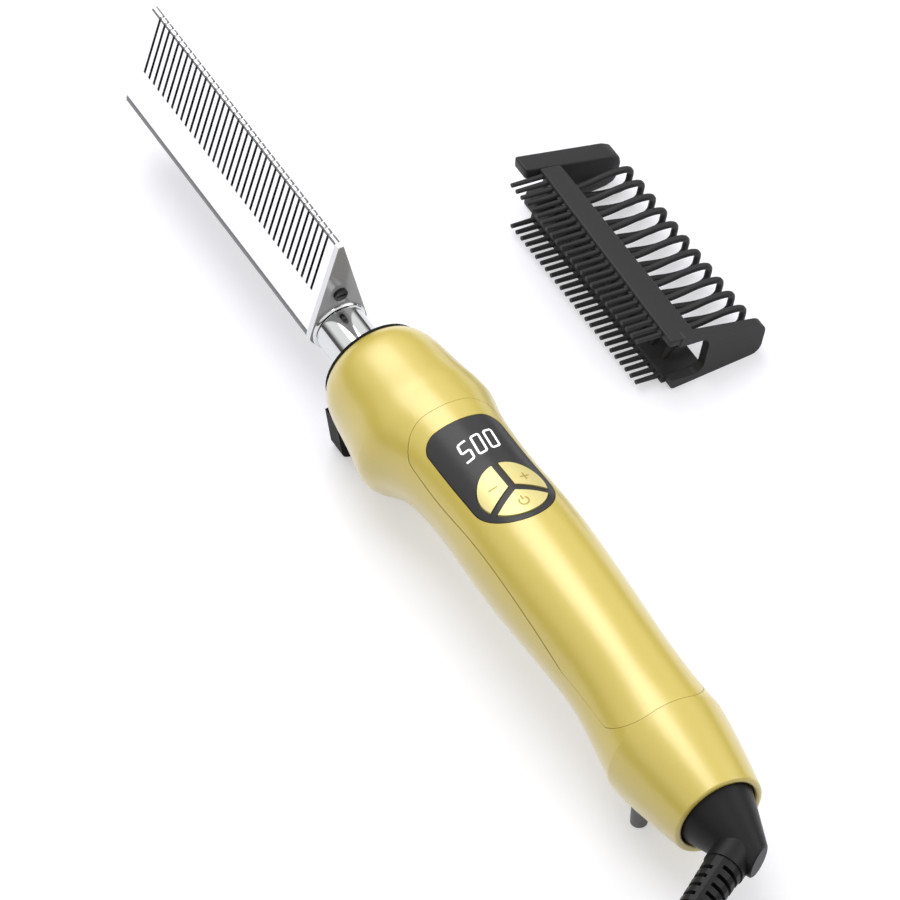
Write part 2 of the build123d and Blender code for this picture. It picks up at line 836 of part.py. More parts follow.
# Tie strap round the coil, on the side away from the handle
coil_inner = coil_radius - coil_pitch / 2 * coil_half_turns - cord_radius - 1.2
coil_outer = coil_radius + cord_radius
tie_low = coil_lift - cord_radius - tie_gap
tie_high = coil_lift + coil_pitch + cord_radius + tie_gap
with BuildPart() as cord_tie:
    with BuildSketch(Plane.XZ.offset(-coil_middle.Y - tie_width / 2)):
        with Locations((coil_middle.X + (coil_inner + coil_outer) / 2, (tie_low + tie_high) / 2)):
            width = coil_outer - coil_inner + 2 * tie_gap
            height = tie_high - tie_low
            RectangleRounded(width + 2 * tie_thickness, height + 2 * tie_thickness, 2.2)
            RectangleRounded(width, height, 1.4, mode=Mode.SUBTRACT)
    extrude(amount=tie_width)
save(cord_tie, "cord_tie")

# Plug: moulded body that widens to its face, and two flat blades
plug_from = tail_route[-1]


def across_plug(distance):
    """Plane square to the plug, distance from where the cord enters, with sketch y up."""
    return Plane(origin=plug_from + Vector(0, distance, 0), x_dir=(-1, 0, 0), z_dir=(0, 1, 0))


with BuildPart() as plug_body:
    with BuildSketch(across_plug(plug_length)):
        RectangleRounded(plug_width, plug_height, 4)
    extrude(amount=-plug_length * 0.8, taper=7)
    with BuildSketch(across_plug(0)):
        Circle(plug_neck_radius)
    extrude(amount=plug_length * 0.5)
save(plug_body, "plug_body")

with BuildPart() as plug_blades:
    with BuildSketch(across_plug(plug_length)):
        with Locations((-blade_spacing / 2, 0), (blade_spacing / 2, 0)):
            Rectangle(blade_thickness, blade_width)
    extrude(amount=blade_length)
    chamfer(edges().group_by(Axis.Y)[-1], 0.5)
    with BuildSketch(Plane.YZ.offset(plug_from.X - plug_width)):
        with Locations((plug_from.Y + plug_length + blade_length - 3.5, plug_lift)):
            Circle(1.5)
    extrude(amount=2 * plug_width, mode=Mode.SUBTRACT)
save(plug_blades, "plug_blades")

# Comb guard: in its own section plane, x runs from the open side to the loops, y across it
guard_slope = tan(radians(guard_angle))
guard_lean = radians(guard_angle)
guard_z = guard_half_height * cos(guard_lean)
guard_in = Vector(0, cos(guard_lean), -sin(guard_lean))
guard_up = Vector(0, sin(guard_lean), cos(guard_lean))
cage_front = guard_front + front_plate_thickness
cage_rear = guard_rear - rear_plate_thickness
cage_middle = (cage_front + cage_rear) / 2 - 1.3


def guard_plane(x):
    return Plane(origin=(x, guard_y, guard_z), x_dir=guard_in, z_dir=(1, 0, 0))


def guard_outline(corner, lead=0.0):
    """Wedge outline of an end plate: radius of its open corners, and its lead past the rails."""
    end_half = guard_half_height - guard_depth * guard_slope
    mouth_half = guard_half_height + lead * guard_slope
    with BuildSketch(Plane.XY) as outline:
        with BuildLine():
            Polyline((-lead, -mouth_half), (-lead, mouth_half), (guard_depth, end_half),
                     (guard_depth, -end_half), (-lead, -mouth_half))
        make_face()
        fillet(vertices().group_by(Axis.X)[-1], 3.5)
        fillet(vertices().group_by(Axis.X)[0], corner)
    return outline.sketch


with BuildPart() as guard_front_plate:
    with BuildSketch(guard_plane(guard_front)):
        add(guard_outline(3.0, front_plate_lead))
    extrude(amount=front_plate_thickness)
    chamfer(edges().group_by(Axis.X)[0], 1.0)
save(guard_front_plate, "guard_front_plate")

with BuildPart() as guard_rear_plate:
    with BuildSketch(guard_plane(cage_rear)):
        add(guard_outline(1.5))
        with Locations((notch_depth / 2 - notch_corner, 0)):
            RectangleRounded(notch_depth + 2 * notch_corner, notch_width, notch_corner,
                             mode=Mode.SUBTRACT)
    extrude(amount=rear_plate_thickness)
save(guard_rear_plate, "guard_rear_plate")


def guard_rail(side):
    """Rail along the open edge with its row of pins. Side is 1 for the upper, -1 for the lower."""
    edge_half = guard_half_height - rail_width * guard_slope
    pin_height = side * (guard_half_height - pin_inset)
    with BuildPart() as rail:
        with BuildSketch(guard_plane(cage_front)):
            with BuildLine():
                Polyline((0, side * guard_half_height), (rail_width, side * edge_half),
                         (rail_width, side * (edge_half - rail_thickness)),
                         (0, side * (guard_half_height - rail_thickness - 0.8)),
                         (0, side * guard_half_height))
            make_face()
        extrude(amount=cage_rear - cage_front)
        root = Vector(cage_middle, guard_y, guard_z) + guard_up * pin_height
        with BuildSketch(Plane(origin=root, x_dir=(1, 0, 0), z_dir=guard_in * -1)):
            with GridLocations(pin_pitch, 0, pin_count, 1):
                RegularPolygon(pin_radius, 4)
        extrude(amount=pin_length, taper=1.5)
    return rail


save(guard_rail(1), "guard_upper_rail")
save(guard_rail(-1), "guard_lower_rail")


def guard_ribs(side):
    """Eleven half loops from one rail to the nose of the wedge, where both halves meet."""
    start_half = guard_half_height - rail_width * guard_slope - rail_thickness / 2
    with BuildPart() as ribs:
        for turn in range(rib_loop_count):
            x = cage_middle + (turn - (rib_loop_count - 1) / 2) * rib_loop_pitch
            plane = guard_plane(x)
            corners = [(rail_width + 0.3, side * start_half), (guard_depth, side * loop_nose_height),
                       (guard_depth, 0)]
            with BuildLine() as path:
                FilletPolyline(*[plane.from_local_coords(Vector(*c, 0)) for c in corners],
                               radius=loop_nose_radius)
            with BuildSketch(Plane(origin=path.line @ 0, x_dir=(1, 0, 0), z_dir=path.line % 0)):
                RegularPolygon(rib_wire_radius, 4)
            sweep()
    return ribs


save(guard_ribs(1), "guard_upper_ribs")
save(guard_ribs(-1), "guard_lower_ribs")
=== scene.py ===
from math import cos, pi, radians, sin

import bmesh
import bpy
from mathutils import Matrix, Vector
from mathutils.bvhtree import BVHTree


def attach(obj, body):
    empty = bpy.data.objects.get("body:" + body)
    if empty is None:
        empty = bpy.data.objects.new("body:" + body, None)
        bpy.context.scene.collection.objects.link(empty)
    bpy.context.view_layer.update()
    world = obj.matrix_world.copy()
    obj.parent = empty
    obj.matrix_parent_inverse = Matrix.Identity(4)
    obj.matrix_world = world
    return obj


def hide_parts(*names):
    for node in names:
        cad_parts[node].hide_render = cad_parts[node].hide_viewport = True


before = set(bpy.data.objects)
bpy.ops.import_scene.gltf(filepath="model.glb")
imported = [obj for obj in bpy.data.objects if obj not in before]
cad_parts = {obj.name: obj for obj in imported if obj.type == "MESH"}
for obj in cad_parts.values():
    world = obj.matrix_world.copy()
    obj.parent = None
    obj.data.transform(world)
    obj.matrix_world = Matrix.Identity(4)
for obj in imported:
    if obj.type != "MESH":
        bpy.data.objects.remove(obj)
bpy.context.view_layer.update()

scene = bpy.context.scene
scene.view_settings.view_transform = "Standard"

# ## Camera
# A long lens from above and behind the cord end, at the photograph's angle.
eye = bpy.data.cameras.new("camera")
eye.sensor_width = 36.0
eye.lens = 320.0
eye.clip_start = 0.1
eye.clip_end = 50.0
camera = bpy.data.objects.new("camera", eye)
scene.collection.objects.link(camera)
to_right = Vector((0.51175457, 0.85844661, 0.03430268))
to_top = Vector((-0.66400125, 0.36987072, 0.64984459))
to_back = Vector((0.54516933, -0.35533796, 0.75929265))
stand = Vector((1.17649, -0.74465, 1.61909))
camera.matrix_world = Matrix((to_right, to_top, to_back)).transposed().to_4x4()
camera.location = stand
scene.camera = camera

# ## Cord
# Round black rubber mains lead, 5 mm thick: out of the strain relief, down to the table,
# wound in a flat coil of two layers, and up to the plug.
cord_thickness = 0.005
mm = 0.001
sleeve_start = Vector((178.0, 0.0, 22.0))
sleeve_turn = radians(60)
sleeve_way = Vector((cos(sleeve_turn), -sin(sleeve_turn), 0.0))
sleeve_length = 42.0
straight_run = 16.0
coil_reach = 39.2
coil_step = 5.6
coil_rounds = 8
coil_rest = 3.45
coil_x = 262.0
coil_y = -79.0
turn_points = 6
turn_angle = 30

cord_exit = sleeve_start + sleeve_way * sleeve_length
cord_points = [
    cord_exit,
    cord_exit + sleeve_way * straight_run,
    Vector((216.5, -65.0, 12.5)),
    Vector((228.5, -74.5, 4.4)),
    Vector((244.0, -79.0, coil_rest)),
]

reaches = [coil_reach - coil_step / 2 * k for k in range(coil_rounds + 1)]
layers = [(reach, 0.0) for reach in reaches[:-1]] + [(reaches[-1], coil_step)]
layers += [(reach, 0.0) for reach in reversed(reaches[:-1])]
edge_y, height, side = coil_y, coil_rest, 1
for reach, climb in layers:
    middle_y = edge_y + side * reach
    for step in range(turn_points):
        turn = radians(turn_angle * (step + 0.5))
        spread = reach / cos(radians(turn_angle / 2))
        cord_points.append(Vector((
            coil_x + side * spread * sin(turn),
            middle_y - side * spread * cos(turn),
            height + climb * (1 - cos(turn)) / 2)))
    edge_y, height, side = middle_y + side * reach, height + climb, -side

cord_points += [
    Vector((245.0, edge_y, height)),
    Vector((230.0, 6.5, 4.3)),
    Vector((219.5, 18.5, 3.0)),
    Vector((215.0, 34.0, 6.8)),
    Vector((215.0, 50.0, 6.8)),
]

cord_curve = bpy.data.curves.new("mains_cord", "CURVE")
cord_curve.dimensions = "3D"
cord_curve.resolution_u = 5
cord_curve.bevel_resolution = 4
cord_curve.bevel_depth = cord_thickness / 2
cord_curve.use_fill_caps = True
line = cord_curve.splines.new("NURBS")
line.points.add(len(cord_points) - 1)
for place, point in zip(line.points, cord_points):
    place.co = (*(point * mm), 1.0)
line.order_u = 3
line.use_endpoint_u = True
mains_cord = bpy.data.objects.new("mains_cord", cord_curve)
scene.collection.objects.link(mains_cord)


def finish_material(name, colour, metallic=0.0, roughness=0.5, grain=1500, bump=0.05, coat=0.0,
                    coat_roughness=0.06, shade=0.08, shine=0.5):
    """Surface whose tone, roughness and height vary finely. Grain is in lumps per metre."""
    material = bpy.data.materials.new(name)
    material.use_nodes = True
    nodes, links = material.node_tree.nodes, material.node_tree.links
    surface = nodes["Principled BSDF"]
    surface.inputs["Metallic"].default_value = metallic
    surface.inputs["Coat Weight"].default_value = coat
    surface.inputs["Coat Roughness"].default_value = coat_roughness
    surface.inputs["Specular IOR Level"].default_value = shine
    place = nodes.new("ShaderNodeTexCoord")
    speckle = nodes.new("ShaderNodeTexNoise")
    speckle.inputs["Scale"].default_value = grain
    speckle.inputs["Detail"].default_value = 3.0
    links.new(place.outputs["Object"], speckle.inputs["Vector"])
    lift = nodes.new("ShaderNodeBump")
    lift.inputs["Strength"].default_value = bump
    lift.inputs["Distance"].default_value = 0.0001
    links.new(speckle.outputs["Fac"], lift.inputs["Height"])
    links.new(lift.outputs["Normal"], surface.inputs["Normal"])
    spread = nodes.new("ShaderNodeMapRange")
    spread.inputs["To Min"].default_value = max(0.02, roughness - 0.05)
    spread.inputs["To Max"].default_value = roughness + 0.05
    links.new(speckle.outputs["Fac"], spread.inputs["Value"])
    links.new(spread.outputs["Result"], surface.inputs["Roughness"])
    tone = nodes.new("ShaderNodeMix")
    tone.name = "tone"
    tone.data_type = "RGBA"
    tone.inputs["A"].default_value = (*[c * (1 - shade) for c in colour], 1.0)
    tone.inputs["B"].default_value = (*[min(1.0, c * (1 + shade)) for c in colour], 1.0)
    links.new(speckle.outputs["Fac"], tone.inputs["Factor"])
    links.new(tone.outputs["Result"], surface.inputs["Base Color"])
    return material


def dress(node, material):
    """Give a CAD node its finish."""
    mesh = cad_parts[node].data
    mesh.materials.clear()
    mesh.materials.append(material)


cord_rubber = finish_material("cord_rubber", (0.012, 0.012, 0.012), roughness=0.5, grain=1800,
                              bump=0.25, shade=0.2, shine=0.25)
cord_curve.materials.append(cord_rubber)
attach(mains_cord, "swivel")
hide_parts("cord", "cord_coil", "cord_tail")
dress("cord_tie", cord_rubber)

# ## Gold handle
# Shell and inlaid top cover, moulded in two pieces, sprayed in fine metallic gold under clear
# lacquer. A rounded bead closes the tail end round the swivel.
gold_lacquer = finish_material("gold_lacquer", (0.68, 0.535, 0.075), metallic=0.08, roughness=0.34,
                               grain=5200, bump=0.04, coat=1.0, coat_roughness=0.28, shade=0.05,
                               shine=0.9)
for node in ("lower_housing", "top_cover"):
    dress(node, gold_lacquer)


def add_piece(name, form, material, body="handle", crease=35):
    """Make a finished form into a smooth piece that rides on a body."""
    bmesh.ops.recalc_face_normals(form, faces=form.faces)
    mesh = bpy.data.meshes.new(name)
    form.to_mesh(mesh)
    form.free()
    mesh.materials.append(material)
    mesh.shade_smooth()
    mesh.set_sharp_from_angle(angle=radians(crease))
    piece = bpy.data.objects.new(name, mesh)
    scene.collection.objects.link(piece)
    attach(piece, body)
    return piece


def turned_ring(outline, axis_height, steps=96):
    """Closed outline of (x, radius) points in mm, spun about a line along X."""
    ring = bmesh.new()
    corners = [ring.verts.new((x * mm, 0, (axis_height + radius) * mm)) for x, radius in outline]
    edges = [ring.edges.new(pair) for pair in zip(corners, corners[1:] + corners[:1])]
    bmesh.ops.spin(ring, geom=corners + edges, axis=(1, 0, 0), cent=(0, 0, axis_height * mm),
                   dvec=(0, 0, 0), angle=2 * pi, steps=steps, use_merge=True)
    bmesh.ops.remove_doubles(ring, verts=ring.verts, dist=0.00001)
    return ring


handle_axis = 22.0
handle_tail = 167.0
bead_radius = 12.08
bead_width = 1.0
bead_stand = 0.8
bead_sides = 16
bead_turns = [2 * pi * step / bead_sides for step in range(bead_sides)]
bead_outline = [(handle_tail + bead_stand * cos(turn), bead_radius + bead_width * sin(turn))
                for turn in bead_turns]
add_piece("tail_bead", turned_ring(bead_outline, handle_axis), gold_lacquer)

# ## Keys
# Three crowned gold caps, a shade paler than the shell, with fine raised signs: a bar, a ring
# with a stroke, and a cross.
key_gold = finish_material("key_gold", (0.82, 0.71, 0.27), metallic=0.2, roughness=0.36,
                           grain=5200, bump=0.04, coat=0.7, coat_roughness=0.28, shade=0.05)
key_sign = finish_material("key_sign", (0.50, 0.38, 0.08), metallic=0.3, roughness=0.5, grain=3000)
for node in ("button_minus", "button_power", "button_plus"):
    dress(node, key_gold)


def laid_strokes(name, strokes, thickness, under, material, body):
    """Strokes drawn in plan, in mm, laid as thin flat lines on the node under them."""
    cuts = 4
    drop_height = 0.1
    lift_off = 0.00003
    flatness = 0.1
    drawing = bpy.data.curves.new(name + "_line", "CURVE")
    drawing.dimensions = "3D"
    drawing.bevel_depth = thickness / 2 * mm
    drawing.bevel_resolution = 2
    drawing.use_fill_caps = True
    for points, closed in strokes:
        run = drawing.splines.new("POLY")
        fine = []
        ends = zip(points, points[1:] + points[:1]) if closed else zip(points, points[1:])
        for start, end in ends:
            fine += [Vector(start).lerp(Vector(end), step / cuts) for step in range(cuts)]
        if not closed:
            fine.append(Vector(points[-1]))
        run.points.add(len(fine) - 1)
        for place, point in zip(run.points, fine):
            place.co = (point.x * mm, point.y * mm, 0.0, 1.0)
        run.use_cyclic_u = closed
    holder = bpy.data.objects.new(name + "_line", drawing)
    mesh = bpy.data.meshes.new_from_object(holder)
    bpy.data.objects.remove(holder)
    bpy.data.curves.remove(drawing)
    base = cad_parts[under].data
    ground = BVHTree.FromPolygons([corner.co for corner in base.vertices],
                                  [list(face.vertices) for face in base.polygons])
    for corner in mesh.vertices:
        above = Vector((corner.co.x, corner.co.y, drop_height))
        hit = ground.ray_cast(above, Vector((0, 0, -1)))[0]
        corner.co.z = hit.z + lift_off + flatness * corner.co.z
    mesh.materials.clear()
    mesh.materials.append(material)
    mesh.shade_smooth()
    piece = bpy.data.objects.new(name, mesh)
    scene.collection.objects.link(piece)
    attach(piece, body)


def arc_points(x, y, radius, first, last, count=14):
    """Points on an arc in plan; angles in degrees from +X."""
    turns = [radians(first + (last - first) * step / count) for step in range(count + 1)]
    return [(x + radius * cos(turn), y + radius * sin(turn)) for turn in turns]


sign_line = 0.42
minus_x, minus_y = 62.3, -4.6
plus_x, plus_y = 62.3, 4.9
power_x, power_y = 70.2, 0.0
sign_reach = 1.3
power_sweep = 140
bar_out, bar_in = 1.9, 0.4
laid_strokes("minus_sign", [([(minus_x, minus_y - sign_reach), (minus_x, minus_y + sign_reach)],
                             False)],
             sign_line, "button_minus", key_sign, "button_minus")
laid_strokes("plus_sign", [([(plus_x, plus_y - sign_reach), (plus_x, plus_y + sign_reach)], False),
                           ([(plus_x - sign_reach, plus_y), (plus_x + sign_reach, plus_y)], False)],
             sign_line, "button_plus", key_sign, "button_plus")
power_ring = arc_points(power_x, power_y, sign_reach, -power_sweep, power_sweep)
power_bar = [(power_x - bar_out, power_y), (power_x - bar_in, power_y)]
laid_strokes("power_sign", [(power_ring, False), (power_bar, False)],
             sign_line, "button_power", key_sign, "button_power")

# ## Display window and digits
# Smoked plastic panel, flush with the cover, with a lit three-figure reading behind it. The
# figures are drawn as seven-bar strokes on the panel's face.
window_smoke = finish_material("window_smoke", (0.042, 0.040, 0.041), roughness=0.3, grain=400,
                               bump=0.01, shine=0.25)
dress("display_window", window_smoke)
figure_light = finish_material("figure_light", (0.9, 0.9, 0.92), roughness=0.6, grain=900)
figure_glow = figure_light.node_tree.nodes["Principled BSDF"]
figure_glow.inputs["Emission Color"].default_value = (1, 1, 1, 1)
figure_glow.inputs["Emission Strength"].default_value = 0.6
figure_height = 6.3
figure_width = 2.5
figure_corner = 0.4
figure_line = 0.66
figure_lean = radians(-7.0)
display_x, display_y = 46.8, 0.45
figure_pitch = 4.2


def figure_stroke(middle, points):
    """Turn a figure's own points, (across, down), to plan, about the display's middle."""
    placed = []
    for across, down in points:
        across += middle * figure_pitch
        placed.append((display_x + down * cos(figure_lean) + across * sin(figure_lean),
                       display_y + across * cos(figure_lean) + down * sin(figure_lean)))
    return placed


half_tall, half_wide, cut = figure_height / 2, figure_width / 2, figure_corner
nought = [(-half_wide + cut, -half_tall), (half_wide - cut, -half_tall),
          (half_wide, -half_tall + cut), (half_wide, half_tall - cut),
          (half_wide - cut, half_tall), (-half_wide + cut, half_tall),
          (-half_wide, half_tall - cut), (-half_wide, -half_tall + cut)]
five = [(half_wide, -half_tall), (-half_wide + cut, -half_tall), (-half_wide, -half_tall + cut),
        (-half_wide, -cut), (-half_wide + cut, 0), (half_wide - cut, 0), (half_wide, cut),
        (half_wide, half_tall - cut), (half_wide - cut, half_tall), (-half_wide, half_tall)]
laid_strokes("display_figures", [(figure_stroke(-1, five), False), (figure_stroke(0, nought), True),
                                 (figure_stroke(1, nought), True)],
             figure_line, "display_window", figure_light, "handle")

# ## Polished comb
# Solid bar of polished metal, sawn into teeth. Its back and the thin edges of the tooth row are
# painted flat grey, a painted reflection that shows as fine grey lines.
comb_polish = finish_material("comb_polish", (0.93, 0.935, 0.94), metallic=1.0, roughness=0.1,
                              grain=900, bump=0.02, shade=0.01)


def paint_reflection_grey(material, grey, zones):
    """Paint zones of Object coordinates flat grey in place of the polish, as a painted reflection:
    each a list of (axis, sense, place in mm).
    """
    nodes, links = material.node_tree.nodes, material.node_tree.links

    def joined(operation, first, second):
        step = nodes.new("ShaderNodeMath")
        step.operation = operation
        links.new(first, step.inputs[0])
        links.new(second, step.inputs[1])
        return step.outputs[0]

    place = nodes.new("ShaderNodeTexCoord")
    apart = nodes.new("ShaderNodeSeparateXYZ")
    links.new(place.outputs["Object"], apart.inputs["Vector"])
    painted_zones = None
    for zone in zones:
        inside = None
        for axis, sense, limit in zone:
            test = nodes.new("ShaderNodeMath")
            test.operation = sense
            test.inputs[1].default_value = limit * mm
            links.new(apart.outputs[axis], test.inputs[0])
            inside = joined("MINIMUM", inside, test.outputs[0]) if inside else test.outputs[0]
        painted_zones = joined("MAXIMUM", painted_zones, inside) if painted_zones else inside
    mix = nodes.new("ShaderNodeMix")
    mix.data_type = "RGBA"
    mix.inputs["B"].default_value = (grey, grey, grey, 1.0)
    links.new(painted_zones, mix.inputs["Factor"])
    links.new(nodes["tone"].outputs["Result"], mix.inputs["A"])
    links.new(mix.outputs["Result"], nodes["Principled BSDF"].inputs["Base Color"])
    mirror = nodes.new("ShaderNodeMapRange")
    mirror.inputs["To Min"].default_value = 1.0
    mirror.inputs["To Max"].default_value = 0.1
    links.new(painted_zones, mirror.inputs["Value"])
    links.new(mirror.outputs["Result"], nodes["Principled BSDF"].inputs["Metallic"])


# The comb's back and tooth-row edges get a painted reflection: flat grey, not a finish of the
# metal.
head_back_height = 21.0
head_edge_height = 50.6
head_near_line = -0.45
head_far_line = 0.15
head_reflection_grey = 0.17
paint_reflection_grey(comb_polish, head_reflection_grey, [
    [("Z", "LESS_THAN", head_back_height)],
    [("Z", "GREATER_THAN", head_edge_height), ("Y", "LESS_THAN", head_near_line)],
    [("Z", "GREATER_THAN", head_edge_height), ("Y", "GREATER_THAN", head_far_line)]])
dress("comb_head", comb_polish)

# ## Chromed neck
# Chromed tube with an end plate of the comb's own section, its face painted grey as a painted
# reflection, a turned collar at the joint and one dark screw over the tube.
neck_chrome = finish_material("neck_chrome", (0.70, 0.705, 0.71), metallic=1.0, roughness=0.1,
                              grain=900, bump=0.02, shade=0.02)
# The end plate's face is painted flat grey: a painted reflection on the chrome.
plate_face = -23.5
plate_reflection_grey = 0.42
paint_reflection_grey(neck_chrome, plate_reflection_grey, [[("X", "LESS_THAN", plate_face + 0.2),
                                       ("X", "GREATER_THAN", plate_face - 0.15)]])
dress("neck_tube", neck_chrome)
neck_axis = 20.4
collar_outline = [(-23.52, 7.1), (-23.52, 8.1), (-23.2, 8.1), (-22.8, 7.9), (-22.5, 7.6),
                  (-22.4, 7.1)]
add_piece("neck_collar", turned_ring(collar_outline, neck_axis), neck_chrome)
dark_screw = finish_material("dark_screw", (0.05, 0.05, 0.052), metallic=0.9, roughness=0.35,
                             grain=1500, bump=0.1)
dress("head_screw", dark_screw)

# ## Heat-proof ring and rests
# Matt black ring round the nose, with a raised lip, the black rest under it and two grey
# rubber studs under the heel.
heatproof_black = finish_material("heatproof_black", (0.004, 0.004, 0.004), roughness=0.55,
                                  grain=3000, bump=0.12, shade=0.15, shine=0.1)
for node in ("nose_insert", "front_rest"):
    dress(node, heatproof_black)
lip_outline = [(-5.02, 13.0), (-5.02, 14.45), (-5.7, 14.45), (-6.0, 14.3), (-6.1, 14.0),
               (-6.1, 13.0)]
add_piece("nose_lip", turned_ring(lip_outline, handle_axis), heatproof_black)
stud_rubber = finish_material("stud_rubber", (0.20, 0.20, 0.205), roughness=0.6, grain=2600,
                              bump=0.2, shade=0.15)
dress("rear_feet", stud_rubber)

# ## Swivel and strain relief
# Satin black cone with a flat cut on its end, and the ribbed sleeve that leaves it at an angle.
swivel_black = finish_material("swivel_black", (0.011, 0.011, 0.012), roughness=0.42, grain=3000,
                               bump=0.12, shade=0.15, shine=0.2)
for node in ("swivel_cap", "strain_relief_sleeve"):
    dress(node, swivel_black)

# ## Comb guard
# Black nylon guard, moulded in one: two end plates, two rails with a row of pins each, and
# eleven round loops from rail to rail. Its own frame has u from the mouth to the loops, v up.
guard_black = finish_material("guard_black", (0.028, 0.028, 0.029), roughness=0.46, grain=2600,
                              bump=0.2, shade=0.12, shine=0.25)
dress("guard_rear_plate", guard_black)
guard_y = 76.8
guard_half = 9.75
guard_tilt = radians(9.0)
guard_z = guard_half * cos(guard_tilt)
cage_front, cage_rear = -46.7, 21.7
cage_middle = -13.8
pins_middle = -12.6


def guard_point(x, u, v):
    """Point of the guard's own frame, in mm, in metres in the shared frame."""
    return Vector((x, guard_y + u * cos(guard_tilt) + v * sin(guard_tilt),
                   guard_z - u * sin(guard_tilt) + v * cos(guard_tilt))) * mm


front_face = -52.8
plate_round = 0.9
front_plate_outline = [(-6.2, 10.6), (23.2, 5.9), (26.0, 4.6), (26.9, 2.2), (26.9, -2.2),
                       (26.0, -4.6), (23.6, -5.9), (0.6, -9.6), (0.6, -4.6), (5.4, -4.2),
                       (5.4, 5.0), (-5.6, 6.6)]
front_plate = bmesh.new()
plate_side = front_plate.faces.new([front_plate.verts.new(guard_point(front_face, u, v))
                                    for u, v in front_plate_outline])
plate_grown = bmesh.ops.extrude_face_region(front_plate, geom=[plate_side])["geom"]
bmesh.ops.translate(front_plate, vec=((cage_front - front_face) * mm, 0, 0),
                    verts=[v for v in plate_grown if isinstance(v, bmesh.types.BMVert)])
bmesh.ops.bevel(front_plate, geom=list(front_plate.edges), offset=plate_round * mm, segments=4,
                profile=0.5, affect="EDGES", material=-1, clamp_overlap=True)
front_plate_piece = add_piece("front_plate", front_plate, guard_black, "guard",
                              crease=50)
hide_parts("guard_front_plate")

rail_thickness = 2.4
rail_round = 0.5
pin_count = 26
pin_pitch = 2.58
pin_sides = 10
pin_root = 2.5
pin_inset = 0.3
pin_root_radius, pin_tip_radius = 0.84, 0.66


def guard_rail(name, node, side, rail_rear, front_edge, rear_edge, inner_edge, pin_tip):
    """Rail with a row of blunt pins. Side is 1 for the upper rail and -1 for the lower."""
    rail = bmesh.new()
    outline = [(cage_front, front_edge), (rail_rear, rear_edge), (rail_rear, inner_edge),
               (cage_front, inner_edge)]
    corners = [rail.verts.new(guard_point(x, u, side * (guard_half - max(u, 0) * sin(guard_tilt))))
               for x, u in outline]
    face = rail.faces.new(corners)
    grown = bmesh.ops.extrude_face_region(rail, geom=[face])["geom"]
    deeper = guard_point(0, 0, -side * rail_thickness) - guard_point(0, 0, 0)
    bmesh.ops.translate(rail, vec=deeper,
                        verts=[v for v in grown if isinstance(v, bmesh.types.BMVert)])
    bmesh.ops.bevel(rail, geom=list(rail.edges), offset=rail_round * mm, segments=3, profile=0.5,
                    affect="EDGES", material=-1)
    pin_height = side * (guard_half - rail_thickness / 2 - pin_inset)
    way = guard_point(0, -1, 0) - guard_point(0, 0, 0)
    turn = way.to_track_quat("Z", "Y").to_matrix().to_4x4()
    for pin in range(pin_count):
        x = pins_middle + (pin - (pin_count - 1) / 2) * pin_pitch
        middle = guard_point(x, (pin_root + pin_tip) / 2, pin_height)
        bmesh.ops.create_cone(rail, cap_ends=True, segments=pin_sides,
                              radius1=pin_root_radius * mm, radius2=pin_tip_radius * mm,
                              depth=(pin_root - pin_tip) * mm,
                              matrix=Matrix.Translation(middle) @ turn)
    piece = add_piece(name, rail, guard_black, "guard")
    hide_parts(node)


guard_rail("upper_rail_and_pins", "guard_upper_rail", 1, 24.3, -1.4, -3.6, 5.4, -11.4)
guard_rail("lower_rail_and_pins", "guard_lower_rail", -1, cage_rear, -0.8, -0.8, 11.2, -8.0)

loop_count = 11
loop_pitch = 5.8
wire_radius = 0.98
loop_line = bpy.data.curves.new("guard_loops", "CURVE")
loop_line.dimensions = "3D"
loop_line.resolution_u = 8
loop_line.bevel_depth = wire_radius * mm
loop_line.bevel_resolution = 3
loop_line.use_fill_caps = True
half_loop = [(3.0, 7.9), (4.3, 4.6), (8.0, 1.9), (13.5, 2.3), (19.5, 3.7), (25.6, 3.8),
             (27.5, 2.4), (27.5, 0.0)]
loop_route = half_loop + [(u, -v) for u, v in reversed(half_loop[:-1])]
for loop in range(loop_count):
    x = cage_middle + (loop - (loop_count - 1) / 2) * loop_pitch
    wire = loop_line.splines.new("NURBS")
    wire.points.add(len(loop_route) - 1)
    for place, (u, v) in zip(wire.points, loop_route):
        place.co = (*guard_point(x, u, v), 1.0)
    wire.order_u = 3
    wire.use_endpoint_u = True
loop_line.materials.append(guard_black)
guard_loops = bpy.data.objects.new("guard_loops", loop_line)
scene.collection.objects.link(guard_loops)
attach(guard_loops, "guard")
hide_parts("guard_upper_ribs", "guard_lower_ribs")

# ## Plug
# Moulded black plug body with two flat brass blades, put away beside the coil.
plug_rubber = finish_material("plug_rubber", (0.014, 0.014, 0.015), roughness=0.42, grain=2200,
                              bump=0.2, shade=0.12, shine=0.25)
dress("plug_body", plug_rubber)
bright_brass = finish_material("bright_brass", (0.72, 0.52, 0.2), metallic=1.0, roughness=0.25,
                               grain=1200, bump=0.1)
for node in ("plug_blades", "slip_rings", "contact_springs"):
    dress(node, bright_brass)

